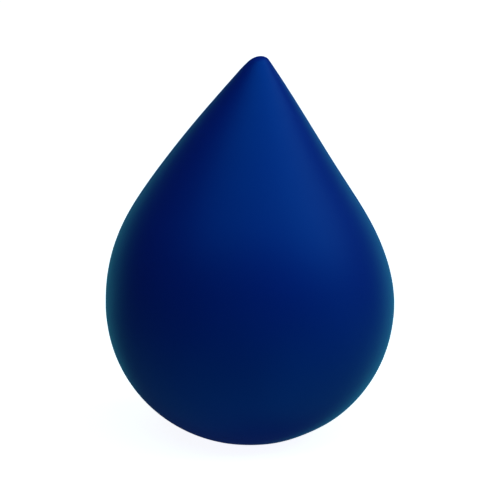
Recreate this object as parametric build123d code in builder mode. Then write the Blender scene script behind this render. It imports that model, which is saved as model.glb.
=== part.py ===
from build123d import *

import os
from math import atan2, degrees, hypot, sqrt

# A drop-shaped squeeze toy for a desk: soft polyurethane foam that was poured into a
# two-part mould whose walls had been sprayed with a coloured coat.
#
# Millimetres, +Z up. The origin is the middle of the flat base, the front faces -Y,
# and the two mould halves met on the plane Y = 0.
#
#   skin_front, skin_back   coat and dense foam skin, one half shell from each mould half
#   foam_core               the soft foam that fills them, with a plug in the gate
#   gate_patch              dab of coat that closes the gate, where the foam was poured in

# Outside of the drop
HEIGHT = 87.5  # base to tip
WIDTH = 65.0  # diameter at the waist, the widest level
BASE_FLAT_RADIUS = 10.0  # flat that the drop stands on
BASE_RIM_RADIUS = 5.0  # soft edge between the flat and the bowl
BOWL_RADIUS = 31.5  # outline from the rim up to the waist
SHOULDER_RADIUS = 40.8  # outline from the waist up to the flank
FLANK_RADIUS = 430.0  # nearly straight side below the tip
TIP_RADIUS = 2.9  # rounded point

# Skin and gate
SKIN_THICKNESS = 0.8  # coat and dense foam skin together
GATE_RADIUS = 4.0  # round opening in the middle of the base
PATCH_THICKNESS = 0.3
PATCH_RECESS = 0.1  # the dab's outer face lies this far above the base plane


def direction(start, end):
    """Angle in degrees of the line from one point to another."""
    return degrees(atan2(end[1] - start[1], end[0] - start[0]))


def internal_tangent_centre(lower, lower_radius, upper, upper_radius, radius):
    """Centre of the large circle that holds two small ones, touching both on their +X side."""
    span_x, span_z = upper[0] - lower[0], upper[1] - lower[1]
    span = hypot(span_x, span_z)
    to_lower, to_upper = radius - lower_radius, radius - upper_radius
    along = (to_lower**2 - to_upper**2 + span**2) / (2 * span)
    aside = sqrt(to_lower**2 - along**2)
    return (
        lower[0] + (along * span_x - aside * span_z) / span,
        lower[1] + (along * span_z + aside * span_x) / span,
    )


# Centres of the outline's arcs, as (x, z). The bowl and the shoulder both have theirs at
# the level of the waist, so the outline is upright there.
bowl_centre_x = WIDTH / 2 - BOWL_RADIUS
waist_height = BASE_RIM_RADIUS + sqrt(
    (BOWL_RADIUS - BASE_RIM_RADIUS) ** 2 - (BASE_FLAT_RADIUS - bowl_centre_x) ** 2
)
rim_centre = (BASE_FLAT_RADIUS, BASE_RIM_RADIUS)
bowl_centre = (bowl_centre_x, waist_height)
shoulder_centre = (WIDTH / 2 - SHOULDER_RADIUS, waist_height)
tip_centre = (0, HEIGHT - TIP_RADIUS)
flank_centre = internal_tangent_centre(
    shoulder_centre, SHOULDER_RADIUS, tip_centre, TIP_RADIUS, FLANK_RADIUS
)

# Directions in which each arc meets the next
AT_BASE, AT_WAIST, AT_TIP = -90, 0, 90
at_bowl = direction(bowl_centre, rim_centre)
at_flank = direction(flank_centre, shoulder_centre)
at_point = direction(flank_centre, tip_centre)


def draw_outline(inset):
    """Draw half of the drop's section, set in from the outside by the same depth all over."""
    arcs = [
        (rim_centre, BASE_RIM_RADIUS, AT_BASE, at_bowl),
        (bowl_centre, BOWL_RADIUS, at_bowl, AT_WAIST),
        (shoulder_centre, SHOULDER_RADIUS, AT_WAIST, at_flank),
        (flank_centre, FLANK_RADIUS, at_flank, at_point),
        (tip_centre, TIP_RADIUS, at_point, AT_TIP),
    ]
    for centre, radius, first, last in arcs:
        CenterArc(centre, radius - inset, first, last - first)
    Polyline((0, HEIGHT - inset), (0, inset), (BASE_FLAT_RADIUS, inset))


# ---------------------------------------------------------------- skin halves
with BuildPart() as skin_front:
    with BuildSketch(Plane.XZ):
        with BuildLine():
            draw_outline(0)
        make_face()
        with BuildLine():
            draw_outline(SKIN_THICKNESS)
        make_face(mode=Mode.SUBTRACT)
    revolve(axis=-Axis.Z, revolution_arc=180)
    with Locations((0, 0, 2 * SKIN_THICKNESS)):
        Hole(GATE_RADIUS, depth=2 * SKIN_THICKNESS)

with BuildPart() as skin_back:
    mirror(skin_front.part, about=Plane.XZ)

# ---------------------------------------------------------------- foam core
patch_top = PATCH_RECESS + PATCH_THICKNESS

with BuildPart() as foam_core:
    with BuildSketch(Plane.XZ):
        with BuildLine():
            draw_outline(SKIN_THICKNESS)
        make_face()
    revolve(axis=Axis.Z)
    with BuildSketch(Plane.XY.offset(patch_top)):
        Circle(GATE_RADIUS)
    extrude(amount=2 * SKIN_THICKNESS)

# ---------------------------------------------------------------- gate patch
with BuildPart() as gate_patch:
    with BuildSketch(Plane.XY.offset(PATCH_RECESS)):
        Circle(GATE_RADIUS)
    extrude(amount=PATCH_THICKNESS)

# ---------------------------------------------------------------- export
skin_front.part.label = "skin_front"
skin_back.part.label = "skin_back"
foam_core.part.label = "foam_core"
gate_patch.part.label = "gate_patch"

os.makedirs("parts", exist_ok=True)
for piece in (skin_front, skin_back, foam_core, gate_patch):
    export_step(piece.part, f"parts/{piece.part.label}.step")
    box = piece.part.bounding_box()
    print(
        f"{piece.part.label}: {piece.part.volume / 1000:.3f} cm3, "
        f"Y {box.min.Y:.2f} to {box.max.Y:.2f}, Z {box.min.Z:.2f} to {box.max.Z:.2f}"
    )
print(f"waist at {waist_height:.2f} above the base")
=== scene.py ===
"""A drop-shaped squeeze toy of soft polyurethane foam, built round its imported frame.

The drop is one moulding: cream foam inside a blue coat that was sprayed into the two
halves of a mould. Every piece is a section turned about the upright axis, so one
Geometry Nodes tree turns them all. One warp gives the whole drop what such a moulding
has by chance: a slight lean, a slanted tip, soft waves and a spot pushed flat.

Sizes are in millimetres in the classes, and metres in the meshes. +Z is up, the front
faces -Y, and the mould halves met on the plane Y = 0.
"""

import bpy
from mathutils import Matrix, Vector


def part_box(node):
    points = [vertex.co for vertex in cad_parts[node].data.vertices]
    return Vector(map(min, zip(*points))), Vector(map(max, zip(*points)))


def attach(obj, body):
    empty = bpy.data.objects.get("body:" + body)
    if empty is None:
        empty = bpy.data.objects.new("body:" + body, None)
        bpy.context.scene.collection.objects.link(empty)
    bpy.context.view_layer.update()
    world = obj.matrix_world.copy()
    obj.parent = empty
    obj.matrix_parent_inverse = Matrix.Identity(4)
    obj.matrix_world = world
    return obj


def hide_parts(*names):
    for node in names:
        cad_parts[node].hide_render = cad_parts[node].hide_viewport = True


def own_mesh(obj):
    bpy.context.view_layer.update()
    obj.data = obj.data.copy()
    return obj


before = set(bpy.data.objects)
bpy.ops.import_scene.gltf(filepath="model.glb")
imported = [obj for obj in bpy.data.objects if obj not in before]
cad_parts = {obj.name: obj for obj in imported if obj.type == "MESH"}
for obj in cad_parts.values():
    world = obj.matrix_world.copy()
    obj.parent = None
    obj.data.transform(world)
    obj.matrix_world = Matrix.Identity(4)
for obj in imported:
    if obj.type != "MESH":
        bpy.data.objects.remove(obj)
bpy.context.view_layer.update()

import logging
import math
from dataclasses import dataclass, field
from enum import Enum
from typing import Any, Callable, Sequence

import bmesh
import bpy
from mathutils import Vector

MM = 0.001
WHITE = "FFFFFF"
COOL_WHITE = "98E0FF"
AQUA_WHITE = "50F0FF"

log = logging.getLogger("drop")

Point = tuple[float, float]
Term = Any  # a number, a node's output, or arithmetic on terms such as ("ADD", term, term)


# --------------------------------------------------------------------------- helpers
def linear_colour(hex_code: str) -> tuple[float, float, float, float]:
    """Turn an sRGB hex colour into the linear colour that the shaders take.

    Args:
        hex_code: six hex digits, such as "00307C".

    Returns:
        Linear red, green and blue, with an alpha of 1.
    """
    channels = [int(hex_code[i : i + 2], 16) / 255 for i in (0, 2, 4)]
    linear = [c / 12.92 if c <= 0.04045 else ((c + 0.055) / 1.055) ** 2.4 for c in channels]
    return (*linear, 1.0)


def fill_inputs(node: bpy.types.Node, inputs: dict[str | int, Term]) -> None:
    """Fill or link a node's inputs, and make the nodes for any arithmetic in them.

    Args:
        node: the node.
        inputs: for each input's name or number, a value or term.
    """
    tree = node.id_data
    for name, value in inputs.items():
        if isinstance(value, tuple) and isinstance(value[0], str):
            operation, *terms = value
            step = add_node(tree, "ShaderNodeMath", {"operation": operation}, dict(enumerate(terms)))
            value = step.outputs[0]
        if isinstance(value, bpy.types.NodeSocket):
            tree.links.new(value, node.inputs[name])
        else:
            node.inputs[name].default_value = value


def add_node(
    tree: bpy.types.NodeTree,
    kind: str,
    settings: dict[str, Any] | None = None,
    inputs: dict[str | int, Term] | None = None,
) -> bpy.types.Node:
    """Add a node to a tree with its settings and inputs.

    Args:
        tree: the shader or geometry tree.
        kind: the node's type name.
        settings: properties of the node itself.
        inputs: for each input's name or number, a value or term.

    Returns:
        The new node.
    """
    node = tree.nodes.new(kind)
    for name, value in (settings or {}).items():
        setattr(node, name, value)
    fill_inputs(node, inputs or {})
    return node


def bell(widths: Term) -> Term:
    """Arithmetic for a bell curve: 1 in the middle, and nearly 0 two widths away from it."""
    return ("EXPONENT", ("MULTIPLY", ("POWER", widths, 2.0), -1.0))


# --------------------------------------------------------------------------- shape
@dataclass(frozen=True)
class Arc:
    """One round stretch of an outline, in the plane of radius and height.

    Angles are in degrees, 0 outwards and 90 up.
    """

    centre: Point
    radius: float
    first: float
    last: float

    def points(self, inset: float, count: int) -> list[Point]:
        """Points along the arc, evenly spaced, set in towards its centre.

        Args:
            inset: how much smaller the radius is than the arc's own.
            count: number of steps.

        Returns:
            count + 1 points, ends included.
        """
        across, up = self.centre
        radius = self.radius - inset
        sweep = self.last - self.first
        turns = [math.radians(self.first + sweep * i / count) for i in range(count + 1)]
        return [(across + radius * math.cos(turn), up + radius * math.sin(turn)) for turn in turns]


@dataclass(frozen=True)
class DropOutline:
    """Half of the drop's section: a flat base, a rim, a bowl, a shoulder, a flank and a tip.

    The height and the width come from the frame. All sizes are in millimetres.
    """

    height: float
    width: float
    base_flat_radius: float = 10.0
    base_rim_radius: float = 5.0
    bowl_radius: float = 31.5
    shoulder_radius: float = 40.8
    flank_radius: float = 430.0
    tip_radius: float = 2.9
    steps: tuple[int, ...] = (10, 62, 30, 66, 18)
    eased_points: int = 26  # points faired on each side of the shoulder's join to the flank
    easing_passes: int = 28
    easing_swell: float = 0.13  # makes up for what the passes take off

    @property
    def waist_height(self) -> float:
        """Height of the widest level above the base, where the bowl meets the shoulder."""
        reach = self.bowl_radius - self.base_rim_radius
        aside = self.base_flat_radius - (self.width / 2 - self.bowl_radius)
        return self.base_rim_radius + math.sqrt(reach**2 - aside**2)

    def arcs(self) -> list[Arc]:
        """Work out the outline's arcs, each tangent to the next.

        Returns:
            The arcs from the rim up to the tip.
        """
        level = self.waist_height
        rim = Vector((self.base_flat_radius, self.base_rim_radius))
        bowl = Vector((self.width / 2 - self.bowl_radius, level))
        shoulder = Vector((self.width / 2 - self.shoulder_radius, level))
        tip = Vector((0.0, self.height - self.tip_radius))
        flank = self._flank_centre(shoulder, tip)
        at_bowl, at_flank, at_point = (
            math.degrees(math.atan2(*reversed(end - start)))
            for start, end in ((bowl, rim), (flank, shoulder), (flank, tip))
        )
        return [
            Arc(tuple(rim), self.base_rim_radius, -90, at_bowl),
            Arc(tuple(bowl), self.bowl_radius, at_bowl, 0),
            Arc(tuple(shoulder), self.shoulder_radius, 0, at_flank),
            Arc(tuple(flank), self.flank_radius, at_flank, at_point),
            Arc(tuple(tip), self.tip_radius, at_point, 90),
        ]

    def _flank_centre(self, shoulder: Vector, tip: Vector) -> Vector:
        """Centre of the large arc that touches the shoulder's and the tip's circles.

        Args:
            shoulder: centre of the shoulder's arc.
            tip: centre of the tip's arc.

        Returns:
            The centre, on the far side of the axis.
        """
        span = tip - shoulder
        to_shoulder = self.flank_radius - self.shoulder_radius
        to_tip = self.flank_radius - self.tip_radius
        along = (to_shoulder**2 - to_tip**2 + span.length_squared) / (2 * span.length)
        aside = math.sqrt(to_shoulder**2 - along**2)
        unit = span.normalized()
        return shoulder + unit * along + Vector((-unit.y, unit.x)) * aside

    def from_rim(self, inset: float) -> list[Point]:
        """Points of the outline above the flat, from the rim to the tip.

        Args:
            inset: depth below the outside, the same all over.

        Returns:
            Points as (radius, height). The last lies on the axis.
        """
        points: list[Point] = []
        for arc, count in zip(self.arcs(), self.steps):
            points += arc.points(inset, count)[1 if points else 0 :]
        return [*self._faired(points)[:-1], (0.0, points[-1][1])]

    def _faired(self, points: list[Point]) -> list[Point]:
        """Let the curvature change gradually from the shoulder to the flank, as in soft foam.

        Args:
            points: the outline as plain arcs, from the rim to the tip.

        Returns:
            The outline with each point near the join drawn towards its neighbours, pass by
            pass, by a share that dies away on both sides.
        """
        join = sum(self.steps[:3])
        reach = self.eased_points
        shares = {join + i: (1 - (i / reach) ** 2) ** 2 for i in range(-reach, reach + 1)}
        line = [Vector(point) for point in points]
        for _ in range(self.easing_passes):
            moved = list(line)
            for i, share in shares.items():
                moved[i] = line[i].lerp((line[i - 1] + line[i + 1]) / 2, share)
            line = moved
        for i, share in shares.items():
            line[i].x += self.easing_swell * share
        return [tuple(point) for point in line]


@dataclass(frozen=True)
class Section:
    """A line of points that is turned about the axis to make a piece.

    Attributes:
        points: (radius, height) in millimetres, in order.
        skin: for each point, 1 on the outside of the coat and 0 elsewhere.
    """

    points: Sequence[Point]
    skin: Sequence[float]

    def mesh(self, name: str) -> bpy.types.Mesh:
        """Make the line as a mesh in metres, with its outward direction and skin mark.

        Args:
            name: name for the mesh.

        Returns:
            The mesh, with "outward" and "skin" on its points.
        """
        mesh = bpy.data.meshes.new(name)
        line = [Vector((r * MM, 0.0, z * MM)) for r, z in self.points]
        mesh.from_pydata(line, [(i, i + 1) for i in range(len(line) - 1)], [])
        outward = []
        for i in range(len(line)):
            along = line[min(i + 1, len(line) - 1)] - line[max(i - 1, 0)]
            outward.append(Vector((along.z, 0.0, -along.x)).normalized())
        if self.points[-1][0] == 0.0:
            outward[-1] = Vector((0.0, 0.0, 1.0))
        mesh.attributes.new("outward", "FLOAT_VECTOR", "POINT").data.foreach_set(
            "vector", [c for v in outward for c in v]
        )
        mesh.attributes.new("skin", "FLOAT", "POINT").data.foreach_set("value", list(self.skin))
        return mesh


# --------------------------------------------------------------------------- turning tree
class TurnInput(Enum):
    """Named inputs of the turning tree."""

    SEGMENTS = "Segments"
    START = "Start"
    SWEEP = "Sweep"
    END_FACES = "End Faces"
    SEAM_CROWDING = "Seam Crowding"
    RIDGE_HEIGHT = "Ridge Height"
    RIDGE_WIDTH = "Ridge Width"
    CELL_DEPTH = "Cell Depth"
    CELL_SIZE = "Cell Size"
    WAVE_HEIGHT = "Wave Height"
    WAVE_LENGTH = "Wave Length"
    WAIST = "Waist"
    TOP = "Top"
    TIP_LEAN = "Tip Lean"
    BELLY_LEAN = "Belly Lean"
    TIP_SLANT = "Tip Slant"
    SLANT_PIVOT = "Slant Pivot"
    SLANT_LENGTH = "Slant Length"
    DENT_PLACE = "Dent Place"
    DENT_PUSH = "Dent Push"
    DENT_WIDTH = "Dent Width"
    FINISH = "Finish"


@dataclass(frozen=True)
class Warp:
    """How the finished moulding departs from a true turned shape, in millimetres.

    Attributes:
        tip_lean: how far the tip stands to the right of the base's axis.
        belly_lean: strength of the opposite, smaller bow below it.
        tip_slant: slope of the very end of the tip, which falls away to the left.
        slant_pivot: how far to the right of the axis the slope begins.
        slant_length: height of the end that slopes.
        dent_place: middle of the flattened spot low on the right, in front.
        dent_push: how far that middle is pushed in, as a vector.
        dent_width: distance from its middle at which the push has mostly died away.
        wave_height: height of the soft waves all over.
        wave_length: distance between them.
    """

    tip_lean: float = 2.0
    belly_lean: float = 17.5
    tip_slant: float = 0.15
    slant_pivot: float = 1.5
    slant_length: float = 3.5
    dent_place: tuple[float, float, float] = (12.5, -7.0, 2.0)
    dent_push: tuple[float, float, float] = (-0.08, 0.0, 0.17)
    dent_width: float = 5.0
    wave_height: float = 0.06
    wave_length: float = 26.0


class TurningTree:
    """Geometry Nodes tree that turns a section about the axis and warps the result."""

    # Kept on the points as they are worked: the way out, the outside of the coat, and the place.
    MARKS = {"outward": "FLOAT_VECTOR", "skin": "FLOAT", "spot": "FLOAT_VECTOR"}
    MERGE_DISTANCE = 2e-6  # metres; closes seams and poles without touching any detail
    SHARP_ANGLE = math.radians(42)
    FLASH_GRAIN = 2.6  # millimetres between changes in how the flash was trimmed
    FLASH_DETAIL = 2.0
    FLASH_SEED = 3.0
    FLASH_RISE = (1.0, 6.0)  # millimetres above the base between which the flash fades in
    WAVE_SEED = 7.0
    WAVE_RISE = (1.0, 12.0)  # the same for the waves

    def __init__(self) -> None:
        """Build the tree."""
        tree = self.tree = bpy.data.node_groups.new("turned_moulding", "GeometryNodeTree")
        self._interface()
        self.given = tree.nodes.new("NodeGroupInput")
        self.section = self.given.outputs["Geometry"]
        self.place = add_node(tree, "GeometryNodeInputPosition").outputs[0]
        self.x, self.y, self.z = add_node(tree, "ShaderNodeSeparateXYZ", {}, {0: self.place}).outputs
        self.marks = {
            name: add_node(
                tree, "GeometryNodeInputNamedAttribute", {"data_type": kind}, {"Name": name}
            ).outputs[0]
            for name, kind in self.MARKS.items()
        }
        self.rows = add_node(
            tree, "GeometryNodeAttributeDomainSize", {"component": "MESH"}, {"Geometry": self.section}
        ).outputs["Point Count"]
        joined = add_node(tree, "GeometryNodeJoinGeometry")
        for piece in (self._turned_surface(), self._end_face(False), self._end_face(True)):
            tree.links.new(piece, joined.inputs[0])
        shape = add_node(
            tree, "GeometryNodeMergeByDistance", {},
            {"Geometry": joined.outputs[0], "Distance": self.MERGE_DISTANCE},
        ).outputs[0]
        for offset in (self._surface_detail(), self._warp()):
            shape = add_node(
                tree, "GeometryNodeSetPosition", {}, {"Geometry": shape, "Offset": offset}
            ).outputs[0]
        self._finish(shape)

    def _interface(self) -> None:
        interface = self.tree.interface
        kinds = {
            TurnInput.SEGMENTS: "NodeSocketInt",
            TurnInput.END_FACES: "NodeSocketBool",
            TurnInput.FINISH: "NodeSocketMaterial",
            TurnInput.DENT_PLACE: "NodeSocketVector",
            TurnInput.DENT_PUSH: "NodeSocketVector",
        }
        interface.new_socket("Geometry", in_out="INPUT", socket_type="NodeSocketGeometry")
        for name in TurnInput:
            kind = kinds.get(name, "NodeSocketFloat")
            interface.new_socket(name.value, in_out="INPUT", socket_type=kind)
        interface.new_socket("Geometry", in_out="OUTPUT", socket_type="NodeSocketGeometry")

    def value(self, name: TurnInput) -> bpy.types.NodeSocket:
        """Output of the group input for one named size."""
        return self.given.outputs[name.value]

    def _placed_grid(
        self,
        columns: Term,
        rows: Term,
        index_of: Callable[[Term, Term], Term],
        angle_of: Callable[[Term], Term],
    ) -> bpy.types.NodeSocket:
        """Make a grid and lay it on the turned section.

        Args:
            columns: vertices across, around the axis.
            rows: vertices along the section.
            index_of: the section's index at a share u of the way across and a row.
            angle_of: the angle at u, in radians.

        Returns:
            The geometry output, with the marks stored on its points.
        """
        tree = self.tree
        shape = add_node(
            tree, "GeometryNodeMeshGrid", {},
            {"Size X": 1.0, "Size Y": 1.0, "Vertices X": columns, "Vertices Y": rows},
        ).outputs["Mesh"]
        u, v = ("ADD", self.x, 0.5), ("ADD", self.y, 0.5)
        index = index_of(u, ("ROUND", ("MULTIPLY", v, ("SUBTRACT", rows, 1.0))))
        for name, source in (self.marks | {"spot": self.place}).items():
            kind = self.MARKS[name]
            value = add_node(
                tree, "GeometryNodeSampleIndex", {"data_type": kind, "domain": "POINT"},
                {"Geometry": self.section, "Value": source, "Index": index},
            ).outputs[0]
            if kind == "FLOAT_VECTOR":
                value = add_node(
                    tree, "ShaderNodeVectorRotate", {"rotation_type": "Z_AXIS"},
                    {"Vector": value, "Angle": angle_of(u)},
                ).outputs[0]
            shape = add_node(
                tree, "GeometryNodeStoreNamedAttribute", {"data_type": kind, "domain": "POINT"},
                {"Geometry": shape, "Name": name, "Value": value},
            ).outputs[0]
        return add_node(
            tree, "GeometryNodeSetPosition", {}, {"Geometry": shape, "Position": self.marks["spot"]}
        ).outputs[0]

    def _turned_surface(self) -> bpy.types.NodeSocket:
        """Sweep the section from start to end, with its columns crowded towards both ends.

        Returns:
            The geometry output.
        """

        def angle_of(u: Term) -> Term:
            """Angle at u, which changes slowly near the two ends."""
            wave = ("SINE", ("MULTIPLY", u, 2 * math.pi))
            pull = ("MULTIPLY", self.value(TurnInput.SEAM_CROWDING), wave)
            eased = ("SUBTRACT", u, ("DIVIDE", pull, 2 * math.pi))
            swept = ("MULTIPLY", eased, self.value(TurnInput.SWEEP))
            return ("ADD", swept, self.value(TurnInput.START))

        columns = ("ADD", self.value(TurnInput.SEGMENTS), 1.0)
        return self._placed_grid(columns, self.rows, lambda u, row: row, angle_of)

    def _end_face(self, at_end: bool) -> bpy.types.NodeSocket:
        """Make the flat face between the outer and the inner line, where the halves met.

        Args:
            at_end: True for the face at the end of the sweep, False for its start.

        Returns:
            The geometry output, empty when end faces are switched off.
        """

        def index_of(u: Term, row: Term) -> Term:
            """Row on the outer line, or its partner on the inner one."""
            partner = ("SUBTRACT", ("SUBTRACT", self.rows, 2.0), row)
            return ("MULTIPLY_ADD", ("SUBTRACT", partner, row), u, row)

        def angle_of(u: Term) -> Term:
            """The same angle all over the face."""
            sweep, start = self.value(TurnInput.SWEEP), self.value(TurnInput.START)
            return ("MULTIPLY_ADD", sweep, float(at_end), start)

        half = ("FLOOR", ("DIVIDE", self.rows, 2.0))
        face = self._placed_grid(2, half, index_of, angle_of)
        return add_node(
            self.tree, "GeometryNodeSwitch", {"input_type": "GEOMETRY"},
            {"Switch": self.value(TurnInput.END_FACES), "True": face},
        ).outputs[0]

    def _surface_detail(self) -> bpy.types.NodeSocket:
        """Raise the trimmed flash along the parting line and sink the foam's open cells.

        Returns:
            The output with each point's offset.
        """
        tree = self.tree
        # The flash stands up as a soft ridge that fades out over the base, where it is cut flush.
        grain = add_node(
            tree, "ShaderNodeTexNoise", {"noise_dimensions": "4D"},
            {"Scale": 1 / (self.FLASH_GRAIN * MM), "Detail": self.FLASH_DETAIL, "W": self.FLASH_SEED},
        ).outputs[0]
        above_base = add_node(
            tree, "ShaderNodeMapRange", {"interpolation_type": "SMOOTHSTEP"},
            {"Value": self.z, "From Min": self.FLASH_RISE[0] * MM, "From Max": self.FLASH_RISE[1] * MM},
        ).outputs[0]
        ridge = bell(("DIVIDE", self.y, self.value(TurnInput.RIDGE_WIDTH)))
        height = self.value(TurnInput.RIDGE_HEIGHT)
        for share in (height, ("ADD", grain, 0.5), above_base, self.marks["skin"]):
            ridge = ("MULTIPLY", ridge, share)
        # Each cell of the foam is a dimple, and the walls between them keep their height.
        from_middle = add_node(
            tree, "ShaderNodeTexVoronoi", {"feature": "F1"},
            {"Scale": ("DIVIDE", 1.0, self.value(TurnInput.CELL_SIZE)), "Randomness": 1.0},
        ).outputs["Distance"]
        hollow = add_node(
            tree, "ShaderNodeMath", {"operation": "SUBTRACT", "use_clamp": True},
            {0: 1.0, 1: ("POWER", from_middle, 2.0)},
        ).outputs[0]
        inward = ("MULTIPLY", hollow, self.value(TurnInput.CELL_DEPTH))
        return add_node(
            tree, "ShaderNodeVectorMath", {"operation": "SCALE"},
            {0: self.marks["outward"], "Scale": ("SUBTRACT", ridge, inward)},
        ).outputs[0]

    def _warp(self) -> bpy.types.NodeSocket:
        """Give the whole moulding its lean, slanted tip, soft waves and flat spot.

        Returns:
            The output with each point's offset.
        """
        tree, waist, top = self.tree, self.value(TurnInput.WAIST), self.value(TurnInput.TOP)
        above_waist = add_node(
            tree, "ShaderNodeMapRange", {"clamp": True},
            {"Value": self.z, "From Min": waist, "From Max": top},
        ).outputs[0]
        below_top = ("POWER", ("SUBTRACT", 1.0, above_waist), 2.0)
        bow = ("MULTIPLY", below_top, self.value(TurnInput.BELLY_LEAN))
        to_tip = ("SUBTRACT", self.value(TurnInput.TIP_LEAN), bow)
        lean = ("MULTIPLY", ("POWER", above_waist, 2.0), to_tip)
        # The very end slopes down to the left, which puts the highest point right of the middle.
        share_down = ("DIVIDE", ("SUBTRACT", top, self.z), self.value(TurnInput.SLANT_LENGTH))
        near_end = add_node(
            tree, "ShaderNodeMath", {"operation": "SUBTRACT", "use_clamp": True},
            {0: 1.0, 1: share_down},
        ).outputs[0]
        to_pivot = ("SUBTRACT", self.x, self.value(TurnInput.SLANT_PIVOT))
        slope = ("MULTIPLY", to_pivot, self.value(TurnInput.TIP_SLANT))
        slant = ("MULTIPLY", slope, ("POWER", near_end, 2.0))
        # Waves push the wall in or out from the axis, and die away at the flat base.
        per_metre = ("DIVIDE", 1.0, self.value(TurnInput.WAVE_LENGTH))
        wave = add_node(
            tree, "ShaderNodeTexNoise", {"noise_dimensions": "4D"},
            {"Scale": per_metre, "Detail": 0.0, "W": self.WAVE_SEED},
        ).outputs[0]
        above_base = add_node(
            tree, "ShaderNodeMapRange", {"interpolation_type": "SMOOTHSTEP"},
            {"Value": self.z, "From Min": self.WAVE_RISE[0] * MM, "From Max": self.WAVE_RISE[1] * MM},
        ).outputs[0]
        height = ("MULTIPLY", ("SUBTRACT", wave, 0.5), self.value(TurnInput.WAVE_HEIGHT))
        # Growth in proportion to the distance from the axis keeps Y = 0 where it is.
        share = ("DIVIDE", ("MULTIPLY", height, above_base), waist)
        girth = add_node(tree, "ShaderNodeCombineXYZ", {}, {0: self.x, 1: self.y}).outputs[0]
        swell = add_node(
            tree, "ShaderNodeVectorMath", {"operation": "SCALE"}, {0: girth, "Scale": share}
        ).outputs[0]
        aside = add_node(tree, "ShaderNodeCombineXYZ", {}, {0: lean, 2: slant}).outputs[0]
        offset = self._dent()
        for part in (swell, aside):
            offset = add_node(
                tree, "ShaderNodeVectorMath", {"operation": "ADD"}, {0: offset, 1: part}
            ).outputs[0]
        return offset

    def _dent(self) -> bpy.types.NodeSocket:
        """Push one spot flat, most in its middle and softly all round.

        Returns:
            The output with each point's offset.
        """
        from_middle = add_node(
            self.tree, "ShaderNodeVectorMath", {"operation": "DISTANCE"},
            {0: self.place, 1: self.value(TurnInput.DENT_PLACE)},
        ).outputs["Value"]
        share = bell(("DIVIDE", from_middle, self.value(TurnInput.DENT_WIDTH)))
        return add_node(
            self.tree, "ShaderNodeVectorMath", {"operation": "SCALE"},
            {0: self.value(TurnInput.DENT_PUSH), "Scale": share},
        ).outputs[0]

    def _finish(self, shape: bpy.types.NodeSocket) -> None:
        """Shade smooth but for sharp edges, drop the marks and set the finish.

        Args:
            shape: the geometry output to finish.
        """
        tree = self.tree
        angle = add_node(tree, "GeometryNodeInputMeshEdgeAngle").outputs["Unsigned Angle"]
        sharp = add_node(
            tree, "FunctionNodeCompare", {"data_type": "FLOAT", "operation": "GREATER_THAN"},
            {0: angle, 1: self.SHARP_ANGLE},
        ).outputs[0]
        for domain, where, smooth in (("FACE", True, True), ("EDGE", sharp, False)):
            shape = add_node(
                tree, "GeometryNodeSetShadeSmooth", {"domain": domain},
                {"Geometry": shape, "Selection": where, "Shade Smooth": smooth},
            ).outputs[0]
        for name in self.MARKS:
            shape = add_node(
                tree, "GeometryNodeRemoveAttribute", {}, {"Geometry": shape, "Name": name}
            ).outputs[0]
        real = add_node(tree, "GeometryNodeRealizeInstances", {}, {"Geometry": shape}).outputs[0]
        dressed = add_node(
            tree, "GeometryNodeSetMaterial", {},
            {"Geometry": real, "Material": self.value(TurnInput.FINISH)},
        ).outputs[0]
        tree.links.new(dressed, tree.nodes.new("NodeGroupOutput").inputs[0])

    def turn(self, name: str, section: Section, values: dict[TurnInput, Any]) -> bpy.types.Object:
        """Turn a section into a finished, plain mesh object.

        Args:
            name: name of the piece.
            section: the line to turn.
            values: the tree's inputs.

        Returns:
            The object, at the origin, with no modifier on it.
        """
        piece = bpy.data.objects.new(name, section.mesh(f"{name}_section"))
        bpy.context.scene.collection.objects.link(piece)
        modifier = piece.modifiers.new("turn", "NODES")
        modifier.node_group = self.tree
        identifiers = {
            item.name: item.identifier
            for item in self.tree.interface.items_tree
            if item.item_type == "SOCKET" and item.in_out == "INPUT"
        }
        for key, value in values.items():
            modifier[identifiers[key.value]] = value
        bpy.context.view_layer.update()
        evaluated = piece.evaluated_get(bpy.context.evaluated_depsgraph_get())
        mesh = bpy.data.meshes.new_from_object(evaluated)
        piece.modifiers.remove(modifier)
        line = piece.data
        piece.data = mesh
        mesh.name = name
        bpy.data.meshes.remove(line)
        face_outwards(mesh)
        return piece


def face_outwards(mesh: bpy.types.Mesh) -> None:
    """Turn all faces of a closed mesh outwards.

    Args:
        mesh: a closed mesh, changed in place.
    """
    work = bmesh.new()
    work.from_mesh(mesh)
    bmesh.ops.recalc_face_normals(work, faces=work.faces)
    open_edges = sum(not edge.is_manifold for edge in work.edges)
    if work.calc_volume(signed=True) < 0:
        bmesh.ops.reverse_faces(work, faces=work.faces)
    work.to_mesh(mesh)
    work.free()
    log.info("%s: %d faces, %d open edges", mesh.name, len(mesh.polygons), open_edges)


# --------------------------------------------------------------------------- finishes
def new_material(name: str) -> tuple[bpy.types.Material, bpy.types.NodeTree, bpy.types.Node]:
    """Make an empty material with a Principled shader.

    Args:
        name: name of the material.

    Returns:
        The material, its tree and the shader node.
    """
    material = bpy.data.materials.new(name)
    material.use_nodes = True
    tree = material.node_tree
    return material, tree, tree.nodes["Principled BSDF"]


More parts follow.
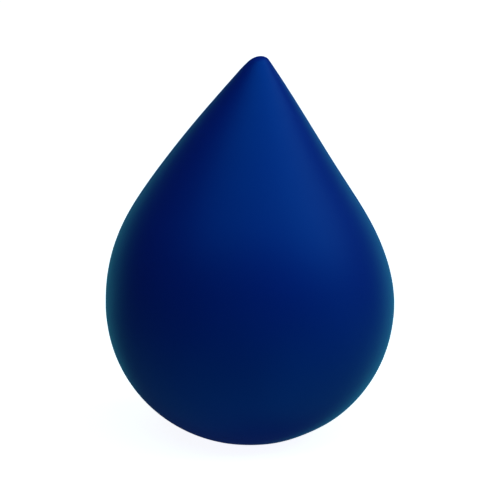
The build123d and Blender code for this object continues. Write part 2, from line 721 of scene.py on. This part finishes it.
@dataclass(frozen=True)
class SprayedCoat:
    """In-mould polyurethane coat over foam skin, sprayed on to a satin mould wall.

    It is a deep blue film with the mould's fine satin, so highlights are broad and take
    the film's blue, and only the grazing edges turn pale. Slight differences in film
    thickness cloud the colour, and the spray leaves a faint orange peel.
    """

    thin: str = "002180"  # where the film is thinner and lighter
    thick: str = "001F78"
    tint: str = "00A4FF"  # colour of the film's own reflection, face on
    roughness: tuple[float, float] = (0.46, 0.52)
    ior: float = 1.5
    specular: float = 0.6
    cloud_size: float = 17.0
    peel_size: float = 0.9  # real orange peel is 0.3 to 1 mm
    peel_depth: float = 0.010
    satin_size: float = 0.30  # the mould's satin is finer; drawn as coarse as it can show
    satin_depth: float = 0.004

    def material(self, name: str) -> bpy.types.Material:
        """Build the material.

        Args:
            name: name of the material.

        Returns:
            The material.
        """
        material, tree, shader = new_material(name)
        place = add_node(tree, "ShaderNodeTexCoord").outputs["Object"]
        noises = (
            (self.cloud_size, 2.0),
            (self.cloud_size / 3, 3.0),
            (self.peel_size, 1.0),
            (self.satin_size, 1.0),
        )
        cloud, sheen, peel, satin = (
            add_node(
                tree, "ShaderNodeTexNoise", {"noise_dimensions": "4D"},
                {"Vector": place, "Scale": 1 / (size * MM), "Detail": detail, "W": seed},
            ).outputs[0]
            for seed, (size, detail) in enumerate(noises, start=1)
        )
        colour = add_node(
            tree, "ShaderNodeMix", {"data_type": "RGBA"},
            {0: cloud, 6: linear_colour(self.thick), 7: linear_colour(self.thin)},
        )
        rough = add_node(
            tree, "ShaderNodeMapRange", {},
            {"Value": sheen, "To Min": self.roughness[0], "To Max": self.roughness[1]},
        )
        peeled = add_node(
            tree, "ShaderNodeBump", {},
            {"Height": peel, "Distance": self.peel_depth * MM, "Strength": 1.0},
        ).outputs[0]
        satined = add_node(
            tree, "ShaderNodeBump", {},
            {"Height": satin, "Distance": self.satin_depth * MM, "Strength": 1.0, "Normal": peeled},
        ).outputs[0]
        fill_inputs(shader, {
            "Base Color": colour.outputs[2],
            "Roughness": rough.outputs[0],
            "Normal": satined,
            "IOR": self.ior,
            "Specular IOR Level": self.specular,
            "Specular Tint": linear_colour(self.tint),
        })
        return material


@dataclass(frozen=True)
class OpenCellFoam:
    """Flexible polyurethane foam, moulded: cream, dull, with fine open cells.

    The eye sees a dry, chalky surface; the cells are painted a little darker down inside, as painted
    shade.
    """

    wall: str = "E6D9B4"
    # painted shade: the darker colour painted in the pores' middles, for the shade down in the cells
    hollow: str = "BFA977"
    roughness: float = 0.92
    cell_size: float = 1.5
    pore_share: float = 1 / 3  # size of the pores between the large cells, as a share of them
    pore_depth: float = 0.15

    def material(self, name: str) -> bpy.types.Material:
        """Build the material.

        Args:
            name: name of the material.

        Returns:
            The material.
        """
        material, tree, shader = new_material(name)
        place = add_node(tree, "ShaderNodeTexCoord").outputs["Object"]
        pore_size = self.cell_size * self.pore_share
        from_middle = add_node(
            tree, "ShaderNodeTexVoronoi", {"feature": "F1"},
            {"Vector": place, "Scale": 1 / (pore_size * MM)},
        ).outputs["Distance"]
        # Painted shade: the pores darken towards their middles, as shade would fall down in the cells.
        colour = add_node(
            tree, "ShaderNodeMix", {"data_type": "RGBA"},
            {0: from_middle, 6: linear_colour(self.hollow), 7: linear_colour(self.wall)},
        )
        bump = add_node(
            tree, "ShaderNodeBump", {},
            {"Height": from_middle, "Distance": self.pore_depth * MM, "Strength": 1.0},
        )
        fill_inputs(shader, {
            "Base Color": colour.outputs[2],
            "Normal": bump.outputs[0],
            "Roughness": self.roughness,
        })
        return material


@dataclass(frozen=True)
class BrushedDab:
    """The same blue coat, brushed on thick by hand: glossier, with the bristles' streaks."""

    thin: str = "003186"
    thick: str = "002667"
    roughness: float = 0.30
    ior: float = 1.48
    streak_size: float = 0.35
    streak_depth: float = 0.02
    streak_stretch: tuple[float, float, float] = (0.12, 1.0, 1.0)  # drawn out along one way
    streak_turn: tuple[float, float, float] = (0.0, 0.0, 0.5)  # radians

    def material(self, name: str) -> bpy.types.Material:
        """Build the material.

        Args:
            name: name of the material.

        Returns:
            The material.
        """
        material, tree, shader = new_material(name)
        place = add_node(tree, "ShaderNodeTexCoord").outputs["Object"]
        drawn_out = add_node(
            tree, "ShaderNodeMapping", {},
            {"Vector": place, "Scale": self.streak_stretch, "Rotation": self.streak_turn},
        ).outputs[0]
        streaks = add_node(
            tree, "ShaderNodeTexNoise", {},
            {"Vector": drawn_out, "Scale": 1 / (self.streak_size * MM), "Detail": 2.0},
        ).outputs[0]
        colour = add_node(
            tree, "ShaderNodeMix", {"data_type": "RGBA"},
            {0: streaks, 6: linear_colour(self.thick), 7: linear_colour(self.thin)},
        )
        bump = add_node(
            tree, "ShaderNodeBump", {},
            {"Height": streaks, "Distance": self.streak_depth * MM, "Strength": 1.0},
        )
        fill_inputs(shader, {
            "Base Color": colour.outputs[2],
            "Normal": bump.outputs[0],
            "Roughness": self.roughness,
            "IOR": self.ior,
        })
        return material


# --------------------------------------------------------------------------- the drop
class Half(Enum):
    """The two mould halves, with the body each one's skin rides on."""

    FRONT = "front"
    BACK = "back"

    @property
    def start(self) -> float:
        """Angle at which this half's sweep begins."""
        return -math.pi if self is Half.FRONT else 0.0


@dataclass
class FoamDrop:
    """The whole toy: two coat halves, the foam inside and the dab over the gate.

    Sizes are in millimetres. Those that the frame holds are read from it.
    """

    segments: int = 200
    core_segments: int = 340
    dab_segments: int = 96
    gate_edge_steps: int = 4
    skin_flat_steps: int = 8
    core_flat_steps: int = 10
    plug_steps: int = 12
    dab_steps: int = 16
    seam_crowding: float = 0.92  # 0 spaces the columns evenly, 1 piles them up on the seam
    squeezed_share: float = 0.5998  # a hair under 0.6, so rounding never pushes the halves together
    gate_edge_radius: float = 0.15
    ridge_height: float = 0.07
    ridge_width: float = 0.30
    cell_depth: float = 0.30
    cell_size: float = 1.5
    dab_edge_rise: float = 0.275  # share of the dab's thickness that its crown loses at the edge
    dab_ripple: float = 0.03
    dab_ripple_turn: float = 7.0  # radians of the ripple's wave from the middle to the edge
    warp: Warp = field(default_factory=Warp)

    def __post_init__(self) -> None:
        """Read the sizes that the frame holds."""
        low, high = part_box("skin_front")
        core_low, core_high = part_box("foam_core")
        dab_low, dab_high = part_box("gate_patch")
        self.outline = DropOutline(height=high[2] / MM, width=(high[0] - low[0]) / MM)
        self.wall = (high[2] - core_high[2]) / MM
        self.plug_height = core_low[2] / MM
        self.gate_radius = dab_high[0] / MM
        self.dab_heights = (dab_low[2] / MM, dab_high[2] / MM)
        self.half_depth = self.outline.width / 2 * MM
        self.tree = TurningTree()

    def build(self) -> list[bpy.types.Object]:
        """Make, dress and attach every piece.

        Returns:
            The finished objects.
        """
        coat = SprayedCoat().material("blue_sprayed_coat")
        made = [self._skin(half, coat) for half in Half]
        made += [self._core(), self._dab()]
        for piece in made:
            log.info("%s: %d points", piece.name, len(piece.data.vertices))
        return made

    def _values(self, material: bpy.types.Material, segments: int) -> dict[TurnInput, Any]:
        """Inputs of the turning tree that all pieces share, in metres.

        Args:
            material: the piece's finish.
            segments: columns round the sweep.

        Returns:
            Values for a piece that turns all the way round and has no details.
        """
        return {
            TurnInput.SEGMENTS: segments,
            TurnInput.START: 0.0,
            TurnInput.SWEEP: 2 * math.pi,
            TurnInput.END_FACES: False,
            TurnInput.SEAM_CROWDING: 0.0,
            TurnInput.RIDGE_HEIGHT: 0.0,
            TurnInput.RIDGE_WIDTH: self.ridge_width * MM,
            TurnInput.CELL_DEPTH: 0.0,
            TurnInput.CELL_SIZE: self.cell_size * MM,
            TurnInput.WAVE_HEIGHT: self.warp.wave_height * MM,
            TurnInput.WAVE_LENGTH: self.warp.wave_length * MM,
            TurnInput.WAIST: self.outline.waist_height * MM,
            TurnInput.TOP: self.outline.height * MM,
            TurnInput.TIP_LEAN: self.warp.tip_lean * MM,
            TurnInput.BELLY_LEAN: self.warp.belly_lean * MM,
            TurnInput.TIP_SLANT: self.warp.tip_slant,
            TurnInput.SLANT_PIVOT: self.warp.slant_pivot * MM,
            TurnInput.SLANT_LENGTH: self.warp.slant_length * MM,
            TurnInput.DENT_PLACE: [c * MM for c in self.warp.dent_place],
            TurnInput.DENT_PUSH: [c * MM for c in self.warp.dent_push],
            TurnInput.DENT_WIDTH: self.warp.dent_width * MM,
            TurnInput.FINISH: material,
        }

    def _flat(self, inner: float, height: float, count: int) -> list[Point]:
        """Points of the flat base from a radius out to the rim, without the rim's own first.

        Args:
            inner: radius that they start from.
            height: level of the flat.
            count: number of points.

        Returns:
            Points as (radius, height).
        """
        span = self.outline.base_flat_radius - inner
        return [(inner + span * i / count, height) for i in range(count)]

    def _skin(self, half: Half, coat: bpy.types.Material) -> bpy.types.Object:
        """Make one half of the coat with its skin of dense foam.

        Args:
            half: which mould half it came from.
            coat: its finish.

        Returns:
            The piece.
        """
        edge = self.gate_edge_radius
        corner = Arc((self.gate_radius + edge, edge), edge, 180, 270)
        base = [(self.gate_radius, self.wall / 2), *corner.points(0.0, self.gate_edge_steps)]
        base += self._flat(self.gate_radius + edge, 0.0, self.skin_flat_steps)[1:]
        outer = base + self.outline.from_rim(0.0)
        inner = self._flat(self.gate_radius, self.wall, len(base)) + self.outline.from_rim(self.wall)
        loop = [*outer, *reversed(inner), outer[0]]
        marks = [1.0] * len(outer) + [0.0] * len(inner) + [1.0]
        values = self._values(coat, self.segments) | {
            TurnInput.START: half.start,
            TurnInput.SWEEP: math.pi,
            TurnInput.END_FACES: True,
            TurnInput.SEAM_CROWDING: self.seam_crowding,
            TurnInput.RIDGE_HEIGHT: self.ridge_height * MM,
        }
        piece = self.tree.turn(f"coat_{half.value}", Section(loop, marks), values)
        self._attach(piece, half.value, f"skin_{half.value}")
        return piece

    def _core(self) -> bpy.types.Object:
        """Make the foam, which fills the skin and stands out into the gate as a plug.

        Returns:
            The piece.
        """
        steps = self.plug_steps
        line = [(self.gate_radius * i / steps, self.plug_height) for i in range(steps + 1)]
        line += self._flat(self.gate_radius, self.wall, self.core_flat_steps)
        line += self.outline.from_rim(self.wall)
        finish = OpenCellFoam(cell_size=self.cell_size).material("cream_open_cell_foam")
        values = self._values(finish, self.core_segments) | {
            TurnInput.CELL_DEPTH: self.cell_depth * MM,
        }
        piece = self.tree.turn("foam_filling", Section(line, [0.0] * len(line)), values)
        self._attach(piece, "back", "foam_core")
        return piece

    def _dab(self) -> bpy.types.Object:
        """Make the dab of coat in the gate: flat against the foam, and crowned outside.

        Returns:
            The piece.
        """
        low, high = self.dab_heights
        edge_rise = (high - low) * self.dab_edge_rise
        line = []
        for i in range(self.dab_steps + 1):
            share = i / self.dab_steps
            ripple = self.dab_ripple * math.cos(self.dab_ripple_turn * share)
            line.append((self.gate_radius * share, low + edge_rise * share**4 + ripple))
        back_steps = self.dab_steps // 2
        line += [(self.gate_radius * i / back_steps, high) for i in range(back_steps, -1, -1)]
        finish = BrushedDab().material("blue_brushed_dab")
        section = Section(line, [0.0] * len(line))
        piece = self.tree.turn("gate_dab", section, self._values(finish, self.dab_segments))
        self._attach(piece, "back", "gate_patch")
        return piece

    def _attach(self, piece: bpy.types.Object, body: str, node: str) -> None:
        """Fix a piece to its body, give it a mesh of its own and hide the CAD node that it stands for.

        Args:
            piece: the finished object.
            body: the body that it rides on.
            node: the CAD node that it stands for.
        """
        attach(piece, body)
        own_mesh(piece)
        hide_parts(node)


# --------------------------------------------------------------------------- studio
@dataclass(frozen=True)
class Softbox:
    """A round soft light that faces the drop.

    Attributes:
        name: name of the light.
        azimuth: degrees round from the front, positive to the right.
        elevation: degrees above the waist.
        spread: half of the angle that the light fills, seen from the drop, in degrees.
        radiance: how bright its face is, where 1 is as bright as white paper looks.
        tone: colour of its light.
        distance: metres from the drop.
    """

    name: str
    azimuth: float
    elevation: float
    spread: float
    radiance: float
    tone: str
    distance: float = 0.9

    def build(self, target: Vector) -> None:
        """Make the light and aim it.

        Args:
            target: point that it faces.
        """
        radius = self.distance * math.tan(math.radians(self.spread))
        light = bpy.data.lights.new(self.name, "AREA")
        light.shape = "DISK"
        light.size = 2 * radius
        light.energy = self.radiance * (math.pi * radius) ** 2
        light.color = linear_colour(self.tone)[:3]
        lamp = bpy.data.objects.new(self.name, light)
        bpy.context.scene.collection.objects.link(lamp)
        away = direction(self.azimuth, self.elevation)
        lamp.location = target + away * self.distance
        lamp.rotation_euler = away.to_track_quat("Z", "Y").to_euler()
        lamp.visible_camera = False


def direction(azimuth: float, elevation: float) -> Vector:
    """Unit vector from the drop.

    Args:
        azimuth: degrees round from the front, positive to the right.
        elevation: degrees above the horizon.

    Returns:
        The vector.
    """
    a, e = math.radians(azimuth), math.radians(elevation)
    return Vector((math.sin(a) * math.cos(e), -math.cos(a) * math.cos(e), math.sin(e)))


@dataclass(frozen=True)
class Studio:
    """Plain pale floor and backdrop, soft lights, and the camera."""

    lights: tuple[Softbox, ...] = (
        Softbox("key", 85, 45, 25, 2.2, COOL_WHITE, distance=0.5),
        Softbox("overhead", 30, 70, 20, 2.3, COOL_WHITE, distance=0.35),
        Softbox("fill", -40, 60, 20, 1.35, COOL_WHITE),
        Softbox("rim_left", -150, -10, 20, 0.65, AQUA_WHITE),
        Softbox("rim_right", 155, -16, 25, 0.85, AQUA_WHITE),
        Softbox("table_front", 0, -40, 45, 0.30, AQUA_WHITE),
        Softbox("table_left", -80, -50, 40, 0.20, AQUA_WHITE),
        Softbox("table_right", 70, -35, 45, 0.38, AQUA_WHITE),
    )
    surroundings: float = 0.03  # radiance of the dim room all round
    camera_clip: tuple[float, float] = (0.01, 20.0)
    camera_elevation: float = 15.0
    camera_distance: float = 1.25
    aim_height: float = 0.0426
    lens: float = 400.0
    floor_radius: float = 4.5
    floor_segments: int = 96
    floor_colour: str = "F4F4F4"
    floor_roughness: float = 0.9
    floor_glow: tuple[float, float] = (0.92, 1.0)  # near the drop, and far from it
    glow_reach: tuple[float, float] = (0.10, 0.45)  # metres from the drop
    backdrop_radius: float = 6.0

    def build(self, waist: float) -> None:
        """Make the floor, backdrop, lights, world and camera.

        Args:
            waist: height of the drop's widest level in metres, which the lights face.
        """
        self._floor()
        self._backdrop()
        for light in self.lights:
            light.build(Vector((0, 0, waist)))
        self._world()
        camera = bpy.data.cameras.new("camera")
        camera.lens = self.lens
        camera.clip_start, camera.clip_end = self.camera_clip
        holder = bpy.data.objects.new("camera", camera)
        scene = bpy.context.scene
        scene.collection.objects.link(holder)
        away = direction(0, self.camera_elevation)
        holder.location = Vector((0, 0, self.aim_height)) + away * self.camera_distance
        holder.rotation_euler = away.to_track_quat("Z", "Y").to_euler()
        scene.camera = holder
        scene.view_settings.view_transform = "Standard"

    def _world(self) -> None:
        """Dim, even surroundings."""
        world = bpy.data.worlds.new("studio")
        world.use_nodes = True
        background = world.node_tree.nodes["Background"]
        fill_inputs(background, {"Color": linear_colour(WHITE), "Strength": self.surroundings})
        bpy.context.scene.world = world

    def _stage_mesh(self, name: str, work: bmesh.types.BMesh) -> tuple[bpy.types.Object, Any, Any]:
        """Turn a working mesh into a stage object with its own material.

        Args:
            name: name of the object.
            work: its mesh, freed here.

        Returns:
            The object, its material's tree and the shader.
        """
        mesh = bpy.data.meshes.new(name)
        work.to_mesh(mesh)
        work.free()
        thing = bpy.data.objects.new(name, mesh)
        bpy.context.scene.collection.objects.link(thing)
        material, tree, shader = new_material(name)
        mesh.materials.append(material)
        return thing, tree, shader

    def _floor(self) -> None:
        """A wide pale floor that glows, so that it stays as pale far off as under the lights."""
        work = bmesh.new()
        bmesh.ops.create_circle(
            work, cap_ends=True, segments=self.floor_segments, radius=self.floor_radius
        )
        floor, tree, shader = self._stage_mesh("pale_floor", work)
        away = add_node(
            tree, "ShaderNodeVectorMath", {"operation": "LENGTH"},
            {0: add_node(tree, "ShaderNodeTexCoord").outputs["Object"]},
        ).outputs["Value"]
        glow = add_node(
            tree, "ShaderNodeMapRange", {"interpolation_type": "SMOOTHSTEP"},
            {
                "Value": away,
                "From Min": self.glow_reach[0], "From Max": self.glow_reach[1],
                "To Min": self.floor_glow[0], "To Max": self.floor_glow[1],
            },
        ).outputs[0]
        fill_inputs(shader, {
            "Base Color": linear_colour(self.floor_colour),
            "Roughness": self.floor_roughness,
            "Specular IOR Level": 0.0,
            "Emission Color": linear_colour(WHITE),
            "Emission Strength": glow,
        })
        # Low lights stand in for its bounce, so they pass through it and it sends none itself.
        for ray in ("visible_diffuse", "visible_glossy", "visible_shadow"):
            setattr(floor, ray, False)

    def _backdrop(self) -> None:
        """A white dome behind everything, which only the camera sees."""
        work = bmesh.new()
        bmesh.ops.create_icosphere(work, subdivisions=4, radius=self.backdrop_radius)
        bmesh.ops.reverse_faces(work, faces=work.faces)
        dome, tree, shader = self._stage_mesh("white_backdrop", work)
        paint = {"Color": linear_colour(WHITE), "Strength": 1.0}
        glow = add_node(tree, "ShaderNodeEmission", {}, paint)
        fill_inputs(tree.nodes["Material Output"], {"Surface": glow.outputs[0]})
        tree.nodes.remove(shader)
        for ray in ("visible_diffuse", "visible_glossy", "visible_transmission", "visible_shadow"):
            setattr(dome, ray, False)


def main() -> None:
    """Build the drop and the studio round it."""
    logging.basicConfig(level=logging.INFO, format="%(name)s: %(message)s")
    drop = FoamDrop()
    drop.build()
    Studio().build(drop.outline.waist_height * MM)


if __name__ == "__main__":
    main()
